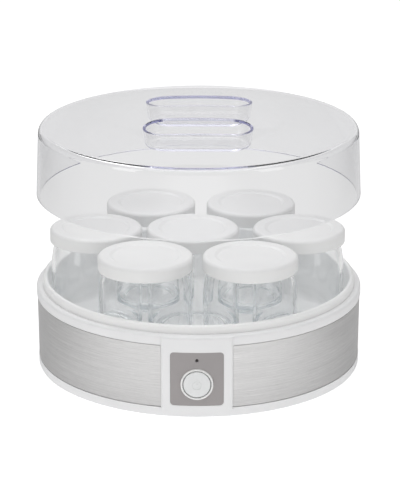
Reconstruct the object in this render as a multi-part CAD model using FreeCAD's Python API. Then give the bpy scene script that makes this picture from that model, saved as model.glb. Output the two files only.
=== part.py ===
import FreeCAD, Part
import math
import os

# Yogurt maker with seven lidded glass jars under a clear cover.
# Millimetres, +Z up, origin on the table under the middle of the base; the control panel faces -Y.
# The cover is modelled lifted off its seat, and the joints lower it, raise the jars and press the button.

V = FreeCAD.Vector
UP = V(0, 0, 1)
LEFT_TO_RIGHT = V(1, 0, 0)

# ---- driving dimensions ----
FIT = 0.1                    # assembly gap between fixed pieces
SMALL_ROUND = 1.6            # turned edges up to this radius are broken by flats
FLAT_TURN = math.radians(46)  # the most that one such flat turns the edge
SLIDE_GAP = 0.3              # running gap between pieces that move past each other

FOOT_STAND = 1.9             # how far the feet hold the base off the table
RIM_RADIUS = 117.7           # white rim, the widest turned part
RIM_LOW = 54.3
SEAT_Z = 61.5                # ledge that the cover stands on
LIP_TOP = 67.5               # lip of the well, which centres the cover
LEDGE_Z = 59.0               # ledge inside the rim that the lip rests on
RIM_WEB = 56.4               # underside of that ledge
LIP_RADIUS = 113.0
WELL_TOP_RADIUS = 109.3
WELL_FLOOR_RADIUS = 107.6
WELL_FLOOR = 23.5
WALL = 2.2
WELL_FLATS = 6.0             # roundings of the well up to this radius are broken by flats

RING_RADIUS = 117.1          # lower housing
RING_TOP = 8.7
PLATE_TOP = 4.0
BAND_RADIUS_LOW = 116.8      # steel band, outer face
BAND_RADIUS_HIGH = 117.2
BAND_THICKNESS = 0.5
BAND_GAP = 0.45              # shadow gap above and below the band

PANEL_WIDTH = 49.4
PANEL_RADIUS = 119.2
PANEL_LOW = 8.0
PANEL_WALL = 2.5
PANEL_ROUND = 2.2
LABEL_WIDTH = 36.7
LABEL_HEIGHT = 38.7
LABEL_CENTRE_Z = 31.0
LABEL_CORNER = 2.6
LABEL_RECESS = 0.6           # depth of the panel's recess for the label
LABEL_SUNK = 0.15            # how far the label lies under the panel's face

BUTTON_Z = 27.3
BEZEL_RADIUS = 11.3
BUTTON_RADIUS = 9.3
BEZEL_BARREL = BUTTON_RADIUS + 1.2
BUTTON_FRONT = -120.3
BEZEL_FRONT = -120.0
BEZEL_SEAT = -118.0          # back of the bezel's flange
BEZEL_BACK = -116.8
BUTTON_FLANGE_FRONT = BEZEL_BACK + 0.15
BUTTON_FLANGE_BACK = BEZEL_BACK + 0.85
LED_Z = 44.7
LIGHT_PIPE_RADIUS = 1.1
PLUNGER_RADIUS = 1.6
SWITCH_FRONT = -114.7

COVER_LIFT = 67.2            # from the seat up to where it is modelled
COVER_SEAT_GAP = 0.2
COVER_LOW_RADIUS = 116.3
COVER_HIGH_RADIUS = 113.7
COVER_HEIGHT = 59.2          # lower edge to the crown of the dome
COVER_DOME_SAG = 9.8         # how much lower the dome is at its edge
COVER_SHOULDER = 5.0
COVER_INNER_SHOULDER = 2.8
COVER_WALL = 2.2
CROWN_FLAT = 1.0             # flat spot in the middle of the dome
POCKET_LENGTH = 73.4         # finger pockets each side of the grip bridge
POCKET_WIDTH = 33.0
POCKET_CORNER = 15.5
POCKET_DEPTH = 13.8
POCKET_FLOOR_ROUND = 2.0
POCKET_RIM_ROUND = 1.2
POCKET_DRAFT = 2.0
POCKET_CENTRE_Y = 35.0

JAR_BODY_RADIUS = 32.7
JAR_NECK_RADIUS = 29.9
JAR_GLASS = 2.4
LID_RADIUS = 33.3
LID_HEIGHT = 10.0
LID_TOP = 102.1
LID_PLATE = 1.6
LID_SKIRT = 1.4
LID_EDGE_ROUND = 3.4
LID_RECESS = 1.0
LID_RECESS_RADIUS = 22.9
LID_PLUG_RADIUS = 26.2       # ring under the lid that centres it in the neck
LID_PLUG_WALL = 1.2
LID_PLUG_DEPTH = 2.7
JAR_FLATS = 200.0            # every rounding on jars and lids is broken by flats

# Jar places: name, angle in degrees, distance from the middle.
JAR_PLACES = [
    ("front_left", -120.0, 73.0),
    ("front_right", -60.0, 73.0),
    ("left", 180.0, 74.2),
    ("right", 0.0, 72.5),
    ("rear_left", 120.0, 73.0),
    ("rear_right", 58.0, 73.0),
    ("centre", 180.0, 4.2),
]

FOOT_RADIUS = 7.0
FOOT_HEIGHT = 3.0
FOOT_CIRCLE = 98.0
FOOT_ANGLES = (45, 135, 225, 315)
HOUSING_SCREW_CIRCLE = 98.0
HOUSING_SCREW_SEAT = 5.2
HOUSING_SCREW_ANGLES = (30, 150, 210, 330)
CLAMP_SCREW_CIRCLE = 84.0
CLAMP_SCREW_ANGLES = (0, 90, 180, 270)

SPREADER_RADIUS = 78.0
SPREADER_THICKNESS = 1.0
HEATER_RADIUS = 1.5
HEATER_OUTER_LOOP = 66.0
HEATER_INNER_LOOP = 46.0
HEATER_END_ANGLE = 160.0
PAD_THICKNESS = 3.9
CLAMP_THICKNESS = 1.0

GROMMET_Z = 15.5
GROMMET_BORE = 3.2
GROMMET_WAIST = 8.8          # square waist that sits in the housing's slot
GROMMET_FLANGE = 6.4
GROMMET_SLOT_TOP = GROMMET_Z + GROMMET_WAIST / 2 + FIT

# ---- derived places ----
WELL_UNDERSIDE = WELL_FLOOR - WALL
WALL_LOW_OUTER = WELL_FLOOR_RADIUS + WALL
WALL_HIGH_OUTER = WELL_TOP_RADIUS + WALL
SKIRT_LOW = RING_TOP + 0.5
SKIRT_OUTER_LOW = BAND_RADIUS_LOW - BAND_THICKNESS - FIT
SKIRT_OUTER_HIGH = BAND_RADIUS_HIGH - BAND_THICKNESS - FIT
SKIRT_INNER_LOW = SKIRT_OUTER_LOW - WALL
SKIRT_INNER_HIGH = SKIRT_OUTER_HIGH - WALL
JAR_LOW = WELL_FLOOR + FIT
JAR_HEIGHT = LID_TOP - LID_PLATE - SLIDE_GAP - JAR_LOW
COVER_LOW = SEAT_Z + COVER_SEAT_GAP + COVER_LIFT
COVER_TOP = COVER_LOW + COVER_HEIGHT
DOME_RADIUS = (COVER_HIGH_RADIUS ** 2 + COVER_DOME_SAG ** 2) / (2 * COVER_DOME_SAG)
DOME_CENTRE = V(0, 0, COVER_TOP - DOME_RADIUS)
POCKET_TOP = COVER_TOP - 1   # about where the pockets break through the dome
SPREADER_LOW = WELL_UNDERSIDE - FIT - SPREADER_THICKNESS
HEATER_Z = SPREADER_LOW - FIT - HEATER_RADIUS
PAD_TOP = HEATER_Z - HEATER_RADIUS - FIT
PAD_LOW = PAD_TOP - PAD_THICKNESS
CLAMP_LOW = PAD_LOW - CLAMP_THICKNESS
BOARD_FRONT = -112.4
BOARD_BACK = -111.2
BOARD_LOW = 12.5
BOARD_HIGH = 50.5
BOARD_STAKE_X = 15.5
STAKE_RADIUS = 1.1
POWER_BOARD_LOW = 7.1
POWER_BOARD_TOP = 8.7
BEFORE_PANEL = -PANEL_RADIUS - 6   # clear of everything on the panel, for cuts from the front
BEHIND_BOARD = -105.0

os.makedirs("parts", exist_ok=True)


# ---- shape helpers ----
def save(name, shape):
    shape.exportStep("parts/" + name + ".step")


def join(shapes):
    """One shape from several that touch or overlap."""
    whole = shapes[0].multiFuse(shapes[1:]) if len(shapes) > 1 else shapes[0]
    return whole.removeSplitter()


def group(shapes):
    """Identical separate solids kept in one node."""
    return Part.makeCompound(shapes)


def polar(radius, degrees, z=0.0):
    angle = math.radians(degrees)
    return V(radius * math.cos(angle), radius * math.sin(angle), z)


def cylinder(radius, low, high, x=0.0, y=0.0):
    return Part.makeCylinder(radius, high - low, V(x, y, low))


def front_cylinder(radius, y_front, y_back, z, x=0.0):
    """Cylinder along Y, from its front face back towards the middle."""
    return Part.makeCylinder(radius, y_back - y_front, V(x, y_front, z), V(0, 1, 0))


def block(x_low, x_high, y_low, y_high, z_low, z_high):
    return Part.makeBox(x_high - x_low, y_high - y_low, z_high - z_low, V(x_low, y_low, z_low))


def centred_block(x, y, size_x, size_y, z_low, z_high):
    return block(x - size_x / 2, x + size_x / 2, y - size_y / 2, y + size_y / 2, z_low, z_high)


def tube_shell(inner, outer, low, high):
    return cylinder(outer, low, high).cut(cylinder(inner, low, high))


def rounded_outline(corners, largest_flat=0.0):
    """Closed wire in the XZ plane; each corner is (x, z, rounding radius).

    Roundings up to largest_flat are broken by equal flats instead of an arc.
    """
    ends = []
    for index, (x, z, radius) in enumerate(corners):
        corner = V(x, 0, z)
        before = corners[index - 1]
        after = corners[(index + 1) % len(corners)]
        to_before = (V(before[0], 0, before[1]) - corner).normalize()
        to_after = (V(after[0], 0, after[1]) - corner).normalize()
        half = to_before.getAngle(to_after) / 2
        if radius == 0:
            ends.append(([], corner, corner))
            continue
        reach = radius / math.tan(half)
        start = corner + to_before * reach
        end = corner + to_after * reach
        inward = (to_before + to_after).normalize()
        middle = corner + inward * (radius / math.sin(half) - radius)
        arc = Part.Arc(start, middle, end).toShape()
        if radius <= largest_flat:
            flats = math.ceil((math.pi - 2 * half) / FLAT_TURN)
            points = arc.discretize(flats + 1)
            rounding = [Part.LineSegment(a, b).toShape() for a, b in zip(points, points[1:])]
        else:
            rounding = [arc]
        ends.append((rounding, start, end))
    edges = []
    for index, (rounding, start, end) in enumerate(ends):
        edges.extend(rounding)
        following = ends[(index + 1) % len(ends)][1]
        if (following - end).Length > 1e-6:
            edges.append(Part.LineSegment(end, following).toShape())
    return Part.Wire(edges)


def turned(corners, centre=V(0, 0, 0), largest_flat=SMALL_ROUND):
    """Solid of revolution about Z from an outline of (radius, z, rounding) corners."""
    solid = Part.Face(rounded_outline(corners, largest_flat)).revolve(V(0, 0, 0), UP, 360)
    solid.translate(centre)
    return solid


def turned_about_y(corners, z, x=0.0):
    """Solid of revolution about a line along Y; corners are (radius, y, rounding)."""
    solid = turned(corners)
    solid.rotate(V(0, 0, 0), LEFT_TO_RIGHT, -90)
    solid.translate(V(x, 0, z))
    return solid


def rounded_rectangle(size_x, size_y, corner, z, centre_y=0.0):
    """Closed wire in a level plane."""
    half_x, half_y = size_x / 2, size_y / 2
    wire = rounded_outline([(-half_x, -half_y, corner), (half_x, -half_y, corner),
                            (half_x, half_y, corner), (-half_x, half_y, corner)])
    wire.rotate(V(0, 0, 0), LEFT_TO_RIGHT, -90)
    wire.translate(V(0, centre_y, z))
    return wire


def front_plate(size_x, size_z, corner, centre_z):
    """Rounded rectangle facing -Y, run back from in front of the panel."""
    half_x, half_z = size_x / 2, size_z / 2
    wire = rounded_outline([(-half_x, centre_z - half_z, corner), (half_x, centre_z - half_z, corner),
                            (half_x, centre_z + half_z, corner), (-half_x, centre_z + half_z, corner)])
    wire.translate(V(0, -PANEL_RADIUS - 10, 0))
    return Part.Face(wire).extrude(V(0, 40, 0))


def bent_tube(points, radius, bend):
    """Round lead along straight runs joined by tangent arcs; each is no tighter than its runs allow."""
    edges = []
    start = points[0]
    for before, corner, after in zip(points, points[1:], points[2:]):
        to_before = (before - corner).normalize()
        to_after = (after - corner).normalize()
        half = to_before.getAngle(to_after) / 2
        shorter = min((before - corner).Length, (after - corner).Length)
        reach = min(bend / math.tan(half), 0.45 * shorter)
        arc_radius = reach * math.tan(half)
        inward = (to_before + to_after).normalize()
        middle = corner + inward * (arc_radius / math.sin(half) - arc_radius)
        arc_start = corner + to_before * reach
        arc_end = corner + to_after * reach
        edges.append(Part.LineSegment(start, arc_start).toShape())
        edges.append(Part.Arc(arc_start, middle, arc_end).toShape())
        start = arc_end
    edges.append(Part.LineSegment(start, points[-1]).toShape())
    path = Part.Wire(edges)
    section = Part.Wire(Part.Circle(points[0], points[1] - points[0], radius).toShape())
    return path.makePipeShell([section], True, False)


def panel_sector(half_width, low, high, inner, outer):
    """Part of a round wall, between two radii, as wide as the control panel."""
    slab = block(-half_width, half_width, -outer - 1, -inner / 2, low, high)
    return slab.common(tube_shell(inner, outer, low, high))


# ---- base: lower housing, feet and screws ----
def make_lower_housing():
    spigot_top = 15.0
    spigot_outer = SKIRT_INNER_LOW - 0.4
    spigot_inner = spigot_outer - WALL
    tray = turned([
        (0, FOOT_STAND, 0), (RING_RADIUS, FOOT_STAND, 1.4), (RING_RADIUS, RING_TOP, 0),
        (spigot_outer, RING_TOP, 0), (spigot_outer, spigot_top, 0), (spigot_inner, spigot_top, 0),
        (spigot_inner, PLATE_TOP, 1.5), (0, PLATE_TOP, 0),
    ])
    under_panel = PANEL_LOW - 3 * FIT
    beside_panel = PANEL_WIDTH / 2 + 2 * FIT
    notch_half = GROMMET_FLANGE + 1.6
    holes = [
        block(-beside_panel, beside_panel, BEFORE_PANEL, -100, under_panel, spigot_top + 1),
        block(-notch_half, notch_half, 105, 115, RING_TOP, spigot_top + 1),
    ]
    pillars = []
    pillar_low = PLATE_TOP - 1
    for angle in HOUSING_SCREW_ANGLES:
        place = polar(HOUSING_SCREW_CIRCLE, angle)
        pillars.append(cylinder(5.5, pillar_low, 10.0, place.x, place.y))
        holes.append(cylinder(3.7, 0, HOUSING_SCREW_SEAT, place.x, place.y))
        holes.append(cylinder(1.7, 0, 11, place.x, place.y))
    for angle in FOOT_ANGLES:
        place = polar(FOOT_CIRCLE, angle)
        pillars.append(cylinder(FOOT_RADIUS + 2, pillar_low, FOOT_HEIGHT + WALL, place.x, place.y))
        holes.append(cylinder(FOOT_RADIUS + FIT, 0, FOOT_HEIGHT + FIT, place.x, place.y))
    for x, y in power_board_corners():
        pillars.append(cylinder(2.6, pillar_low, POWER_BOARD_LOW - FIT, x, y))
        holes.append(cylinder(1.2, PLATE_TOP + 0.4, POWER_BOARD_LOW, x, y))
    return join([tray] + pillars).cut(group(holes))


def edges_at(shape, test):
    return [edge for edge in shape.Edges if test(edge)]


def is_front_upright(edge):
    """Upright edge at the outside of the panel boss."""
    box = edge.BoundBox
    radius = math.hypot(edge.CenterOfMass.x, edge.CenterOfMass.y)
    return box.ZLength > 1 and box.XLength < 0.01 and radius > PANEL_RADIUS - 1


def make_feet():
    feet = []
    for angle in FOOT_ANGLES:
        feet.append(turned([(0, 0, 0), (FOOT_RADIUS, 0, 0.6), (FOOT_RADIUS, FOOT_HEIGHT, 0.2),
                            (0, FOOT_HEIGHT, 0)], polar(FOOT_CIRCLE, angle)))
    return group(feet)


def screw(head_radius, head_height, shank_radius, length, place, upward=True):
    """Pan-head screw with a cross recess; its head seat is at the place and the shank points away."""
    head = turned([(0, -head_height, 0), (head_radius, -head_height, 0.5 * head_height),
                   (head_radius, 0, 0), (0, 0, 0)])
    shank = turned([(0, -0.1, 0), (shank_radius, -0.1, 0), (shank_radius, length - shank_radius, 0),
                    (shank_radius / 3, length, 0), (0, length, 0)])
    slot_top = -0.55 * head_height
    slot_length = 1.2 * head_radius
    slot_width = 0.22 * head_radius
    slots = [centred_block(0, 0, slot_length, slot_width, -head_height, slot_top),
             centred_block(0, 0, slot_width, slot_length, -head_height, slot_top)]
    whole = join([head, shank]).cut(group(slots))
    if not upward:
        whole.rotate(V(0, 0, 0), LEFT_TO_RIGHT, 180)
    whole.translate(place)
    return whole


def make_housing_screws():
    return group([screw(3.2, 2.0, 1.5, 12.0, polar(HOUSING_SCREW_CIRCLE, angle, HOUSING_SCREW_SEAT))
                  for angle in HOUSING_SCREW_ANGLES])


# ---- base: well pot ----
def make_well():
    """Pot that the jars stand in; its lip rests on the upper housing and centres the cover."""
    pot = turned([
        (0, WELL_FLOOR, 0), (WELL_FLOOR_RADIUS, WELL_FLOOR, 5.0), (WELL_TOP_RADIUS, SEAT_Z, 0),
        (WELL_TOP_RADIUS, LIP_TOP, 1.6), (LIP_RADIUS, LIP_TOP, 1.6), (LIP_RADIUS, LEDGE_Z + FIT, 0),
        (WALL_HIGH_OUTER, LEDGE_Z + FIT, 0), (WALL_LOW_OUTER, WELL_UNDERSIDE, 5.9), (0, WELL_UNDERSIDE, 0),
    ], largest_flat=WELL_FLATS)
    posts = []
    holes = []
    for angle in HOUSING_SCREW_ANGLES:
        place = polar(HOUSING_SCREW_CIRCLE, angle)
        posts.append(cylinder(4.5, 10.2, WELL_UNDERSIDE + 1, place.x, place.y))
        holes.append(cylinder(1.6, 9, 18.5, place.x, place.y))
    for angle in CLAMP_SCREW_ANGLES:
        place = polar(CLAMP_SCREW_CIRCLE, angle)
        posts.append(cylinder(3.6, PAD_LOW + FIT, WELL_UNDERSIDE + 1, place.x, place.y))
        holes.append(cylinder(1.4, PAD_LOW, 20.0, place.x, place.y))
    return join([pot] + posts).cut(group(holes))


# ---- base: upper housing with the rim, skirt and control panel ----
def make_upper_housing():
    shell = turned([
        (LIP_RADIUS + FIT, SEAT_Z, 0), (RIM_RADIUS, SEAT_Z, 2.0), (RIM_RADIUS, RIM_LOW, 0.8),
        (SKIRT_OUTER_HIGH, RIM_LOW, 0), (SKIRT_OUTER_LOW, SKIRT_LOW, 0), (SKIRT_INNER_LOW, SKIRT_LOW, 0),
        (SKIRT_INNER_HIGH, RIM_WEB, 0), (WALL_HIGH_OUTER + FIT, RIM_WEB, 0),
        (WALL_HIGH_OUTER + FIT, LEDGE_Z, 0), (LIP_RADIUS + FIT, LEDGE_Z, 0),
    ])
    boss = panel_sector(PANEL_WIDTH / 2, PANEL_LOW, SEAT_Z, LIP_RADIUS + FIT, PANEL_RADIUS)
    outer_edges = edges_at(boss, lambda edge: is_front_upright(edge) or is_boss_top(edge))
    boss = boss.makeFillet(PANEL_ROUND, outer_edges)
    inner_half = PANEL_WIDTH / 2 - WALL
    hollow = panel_sector(inner_half, PANEL_LOW - 1, RIM_LOW, 105, PANEL_RADIUS - PANEL_WALL)
    whole = join([shell, boss]).cut(hollow)
    stakes = []
    in_panel_wall = -PANEL_RADIUS + PANEL_WALL / 2
    for x, z in board_corners():
        stakes.append(front_cylinder(2.4, in_panel_wall, BOARD_FRONT - FIT, z, x))
        stakes.append(front_cylinder(STAKE_RADIUS, in_panel_wall, BOARD_BACK + FIT, z, x))
    whole = join([whole] + stakes)
    recess = front_plate(LABEL_WIDTH + 2 * FIT, LABEL_HEIGHT + 2 * FIT, LABEL_CORNER + FIT, LABEL_CENTRE_Z)
    recess = recess.cut(cylinder(PANEL_RADIUS - LABEL_RECESS, 0, RIM_LOW))
    behind_panel = -PANEL_RADIUS + PANEL_WALL + 3
    cuts = [
        recess,
        front_cylinder(BEZEL_RADIUS + FIT, BEFORE_PANEL, BEZEL_SEAT, BUTTON_Z),
        front_cylinder(BEZEL_BARREL + FIT, BEFORE_PANEL, behind_panel, BUTTON_Z),
        front_cylinder(BEZEL_RADIUS, BEZEL_BACK, behind_panel, BUTTON_Z),
        front_cylinder(LIGHT_PIPE_RADIUS + FIT, BEFORE_PANEL, behind_panel, LED_Z),
        grommet_slot(),
    ]
    return whole.cut(group(cuts))


def grommet_slot():
    """Slot for the cord grommet, open downwards, at the back of the housing and the band."""
    half = GROMMET_WAIST / 2 + FIT
    return block(-half, half, 108, 125, 0, GROMMET_SLOT_TOP)


def is_boss_top(edge):
    """Curved upper edge at the outside of the panel boss."""
    box = edge.BoundBox
    return box.ZLength < 0.01 and box.ZMin > SEAT_Z - 0.01 and box.YMin < -PANEL_RADIUS + 0.01


def make_steel_band():
    low = RING_TOP + BAND_GAP
    high = RIM_LOW - BAND_GAP
    band = turned([(BAND_RADIUS_LOW - BAND_THICKNESS, low, 0), (BAND_RADIUS_LOW, low, 0),
                   (BAND_RADIUS_HIGH, high, 0), (BAND_RADIUS_HIGH - BAND_THICKNESS, high, 0)])
    gap = block(-PANEL_WIDTH / 2 - FIT, PANEL_WIDTH / 2 + FIT, -PANEL_RADIUS, -50, 0, 70)
    return band.cut(gap).cut(grommet_slot())


# ---- control panel ----
def make_panel_label():
    plate = front_plate(LABEL_WIDTH, LABEL_HEIGHT, LABEL_CORNER, LABEL_CENTRE_Z)
    skin = plate.common(tube_shell(PANEL_RADIUS - LABEL_RECESS, PANEL_RADIUS - LABEL_SUNK, 0, RIM_LOW))
    holes = [front_cylinder(BEZEL_RADIUS + FIT, BEFORE_PANEL, BEHIND_BOARD, BUTTON_Z),
             front_cylinder(LIGHT_PIPE_RADIUS + FIT, BEFORE_PANEL, BEHIND_BOARD, LED_Z)]
    return skin.cut(group(holes))


def make_button_bezel():
    bore = BUTTON_RADIUS + 2 * SLIDE_GAP
    return turned_about_y([(bore, BEZEL_FRONT, 0.6), (BEZEL_RADIUS, BEZEL_FRONT, 0.8),
                           (BEZEL_RADIUS, BEZEL_SEAT, 0), (BEZEL_BARREL, BEZEL_SEAT, 0),
                           (BEZEL_BARREL, BEZEL_BACK, 0), (bore, BEZEL_BACK, 0)], BUTTON_Z)


def make_power_button():
    crown_height = 0.5
    rim_front = BUTTON_FRONT + crown_height
    flange_radius = BUTTON_RADIUS + 1.0
    cap = turned_about_y([(0, rim_front, 0), (BUTTON_RADIUS, rim_front, 0.5),
                          (BUTTON_RADIUS, BUTTON_FLANGE_FRONT, 0), (flange_radius, BUTTON_FLANGE_FRONT, 0),
                          (flange_radius, BUTTON_FLANGE_BACK, 0), (0, BUTTON_FLANGE_BACK, 0)], BUTTON_Z)
    crown_radius = BUTTON_RADIUS - 0.9
    sphere_radius = (crown_radius ** 2 + crown_height ** 2) / (2 * crown_height)
    crown = Part.makeSphere(sphere_radius, V(0, BUTTON_FRONT + sphere_radius, BUTTON_Z))
    crown = crown.common(front_cylinder(crown_radius, BEFORE_PANEL, rim_front + 0.05, BUTTON_Z))
    return join([cap, crown]).cut(power_symbol())


def power_symbol():
    """Shallow groove: a ring open at the top and a short bar in its gap."""
    groove_back = BUTTON_FRONT + 0.3
    radius = 3.4
    stroke = 0.8
    bar_low = BUTTON_Z + 0.6
    bar_high = BUTTON_Z + 4.2
    ring = front_cylinder(radius, BEFORE_PANEL, groove_back, BUTTON_Z)
    ring = ring.cut(front_cylinder(radius - stroke, BEFORE_PANEL, groove_back, BUTTON_Z))
    gap_half = 1.6 * stroke
    ring = ring.cut(block(-gap_half, gap_half, BEFORE_PANEL, groove_back, BUTTON_Z, bar_high))
    bar = block(-stroke / 2, stroke / 2, BEFORE_PANEL, groove_back, bar_low, bar_high)
    return group([ring, bar])


def make_switch_plunger():
    return front_cylinder(PLUNGER_RADIUS, BUTTON_FLANGE_BACK, SWITCH_FRONT + 1.2, BUTTON_Z)


def make_tact_switch():
    half = 3.5
    body = block(-half, half, SWITCH_FRONT, BOARD_FRONT, BUTTON_Z - half, BUTTON_Z + half)
    return body.cut(front_cylinder(PLUNGER_RADIUS + SLIDE_GAP, BEFORE_PANEL, BEHIND_BOARD, BUTTON_Z))


def make_light_pipe():
    face = -PANEL_RADIUS + 0.1
    shoulder = -116.2
    back = -113.8
    foot_radius = 1.8
    return turned_about_y([(0, face, 0), (LIGHT_PIPE_RADIUS, face, 0.3), (LIGHT_PIPE_RADIUS, shoulder, 0),
                           (foot_radius, shoulder + 0.3, 0), (foot_radius, back, 0), (0, back, 0)], LED_Z)


def make_status_led():
    half_width = 1.6
    half_height = 0.8
    depth = 1.2
    return block(-half_width, half_width, BOARD_FRONT - depth, BOARD_FRONT,
                 LED_Z - half_height, LED_Z + half_height)


def board_corners():
    """Places of the stakes that hold the control board, as (x, z)."""
    return [(x, z) for x in (-BOARD_STAKE_X, BOARD_STAKE_X) for z in (BOARD_LOW + 4, BOARD_HIGH - 4)]


def make_control_board():
    half = BOARD_STAKE_X + 3
    board = block(-half, half, BOARD_FRONT, BOARD_BACK, BOARD_LOW, BOARD_HIGH)
    holes = [front_cylinder(STAKE_RADIUS + FIT, BEFORE_PANEL, BEHIND_BOARD, z, x) for x, z in board_corners()]
    return board.cut(group(holes))


def make_board_connectors():
    return group([
        block(-5, 5, BOARD_BACK, -106.0, 13.0, 19.0),
        centred_block(-10, -16, 8, 6, POWER_BOARD_TOP, 15.0),
    ])


# ---- heating ----
def make_heat_spreader():
    return cylinder(SPREADER_RADIUS, SPREADER_LOW, SPREADER_LOW + SPREADER_THICKNESS)


def arc_tube(loop_radius, start, sweep, centre, tube_radius):
    """Round tube along a level arc; angles in degrees."""
    begin = centre + polar(loop_radius, start)
    disc = Part.Face(Part.Wire(Part.Circle(begin, polar(1, start + 90), tube_radius).toShape()))
    return disc.revolve(centre, UP, sweep)


def make_heating_cord():
    level = V(0, 0, HEATER_Z)
    sweep = 2 * HEATER_END_ANGLE
    outer = arc_tube(HEATER_OUTER_LOOP, -HEATER_END_ANGLE, sweep, level, HEATER_RADIUS)
    inner = arc_tube(HEATER_INNER_LOOP, -HEATER_END_ANGLE, sweep, level, HEATER_RADIUS)
    middle = (HEATER_OUTER_LOOP + HEATER_INNER_LOOP) / 2
    turn_radius = (HEATER_OUTER_LOOP - HEATER_INNER_LOOP) / 2
    turn_centre = polar(middle, HEATER_END_ANGLE, HEATER_Z)
    turn = arc_tube(turn_radius, HEATER_END_ANGLE, 180, turn_centre, HEATER_RADIUS)
    return join([outer, inner, turn])


def make_insulation_pad():
    return tube_shell(37.0, 76.0, PAD_LOW, PAD_TOP)


def make_heater_clamp_plate():
    plate = tube_shell(35.5, 79.0, CLAMP_LOW, PAD_LOW)
    ears = []
    holes = []
    for angle in CLAMP_SCREW_ANGLES:
        place = polar(CLAMP_SCREW_CIRCLE, angle)
        ears.append(cylinder(6.0, CLAMP_LOW, PAD_LOW, place.x, place.y))
        holes.append(cylinder(1.6, CLAMP_LOW - 1, PAD_LOW + 1, place.x, place.y))
    return join([plate] + ears).cut(group(holes))


def make_clamp_screws():
    return group([screw(2.8, 1.8, 1.3, 7.0, polar(CLAMP_SCREW_CIRCLE, angle, CLAMP_LOW))
                  for angle in CLAMP_SCREW_ANGLES])


def make_thermostat():
    y = -28.0
    can_low = 13.6
    face = SPREADER_LOW - FIT
    flange_low = face - 1.3
    can = turned([(0, can_low, 0), (6.8, can_low, 0.6), (6.8, flange_low, 0), (7.0, flange_low, 0),
                  (7.0, face, 0.3), (0, face, 0)], V(0, y, 0))
    tabs = [centred_block(x, y, 3.0, 0.8, can_low - 3.4, can_low + 0.1) for x in (-3.5, 3.5)]
    return join([can] + tabs)


def make_thermal_fuse():
    radius = 2.1
    y = 28.5
    z = SPREADER_LOW - FIT - radius - 0.1
    barrel = Part.makeCylinder(radius, 12, V(-6, y, z), LEFT_TO_RIGHT)
    wires = Part.makeCylinder(0.5, 24, V(-12, y, z), LEFT_TO_RIGHT)
    return join([barrel, wires])


# ---- power electronics in the middle of the base ----
def power_board_corners():
    return [(x, y) for x in (-18.0, 18.0) for y in (-17.0, 17.0)]


def make_power_board():
    board = centred_block(0, 0, 44, 42, POWER_BOARD_LOW, POWER_BOARD_TOP)
    holes = [cylinder(1.4, 5, 10, x, y) for x, y in power_board_corners()]
    return board.cut(group(holes))


def make_power_board_screws():
    return group([screw(2.4, 1.6, 1.1, 4.0, V(x, y, POWER_BOARD_TOP), upward=False)
                  for x, y in power_board_corners()])


def rounded_block(x, y, size_x, size_y, z_low, z_high, radius):
    body = centred_block(x, y, size_x, size_y, z_low, z_high)
    uprights = [edge for edge in body.Edges if edge.BoundBox.ZLength > 1]
    return body.makeFillet(radius, uprights)


def make_relay():
    return rounded_block(-9, 2, 19, 10, POWER_BOARD_TOP, 18.6, 0.8)


def make_film_capacitor():
    return rounded_block(11.5, 4, 13, 6, POWER_BOARD_TOP, 17.5, 1.0)


def make_smoothing_capacitor():
    return turned([(0, POWER_BOARD_TOP, 0), (4.0, POWER_BOARD_TOP, 0.4), (4.0, 18.0, 0.5), (0, 18.0, 0)],
                  V(9, -7, 0))


def make_terminal_block():
    y = 16.5
    top = 17.6
    entry_z = 13.0
    body = centred_block(0, y, 22, 7.6, POWER_BOARD_TOP, top)
    screw_wells = [cylinder(1.5, top - 2.4, top + 1, x, y) for x in (-8.25, -2.75, 2.75, 8.25)]
    entries = [Part.makeCylinder(1.2, 4, V(-12, y + side * 1.5, entry_z), LEFT_TO_RIGHT) for side in (-1, 1)]
    return body.cut(group(screw_wells + entries))


def make_heater_leads():
    """From the two ends of the heating cord to the terminal block, all inside the base."""
    lead = 0.9
    along = polar(1, 270 - HEATER_END_ANGLE)
    inner_start = polar(HEATER_INNER_LOOP, -HEATER_END_ANGLE, HEATER_Z) + along * FIT
    outer_start = polar(HEATER_OUTER_LOOP, -HEATER_END_ANGLE, HEATER_Z) + along * FIT
    inner_lead = [inner_start, inner_start + along * 6, V(-38, -1, HEATER_Z), V(-30, 11, 17.0),
                  V(-21, 15, 13.2), V(-8.5, 15, 13.0)]
    outer_lead = [outer_start, outer_start + along * 8, V(-52, -1, HEATER_Z), V(-41, 6, HEATER_Z),
                  V(-31, 15.5, 17.4), V(-21, 18, 13.2), V(-8.5, 18, 13.0)]
    return group([bent_tube(inner_lead, lead, 8.0), bent_tube(outer_lead, lead, 8.0)])


def make_signal_cable():
    """Sleeved leads from the control board to the power board, under the heater."""
    return bent_tube([V(0, -105.9, 16.0), V(0, -98, 16.0), V(0, -90, 8.5), V(-3, -70, 7.6), V(-7, -50, 7.4),
                      V(-10, -36, 8.8), V(-10, -28, 11.5), V(-10, -19.1, 11.6)], 1.3, 9.0)


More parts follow.
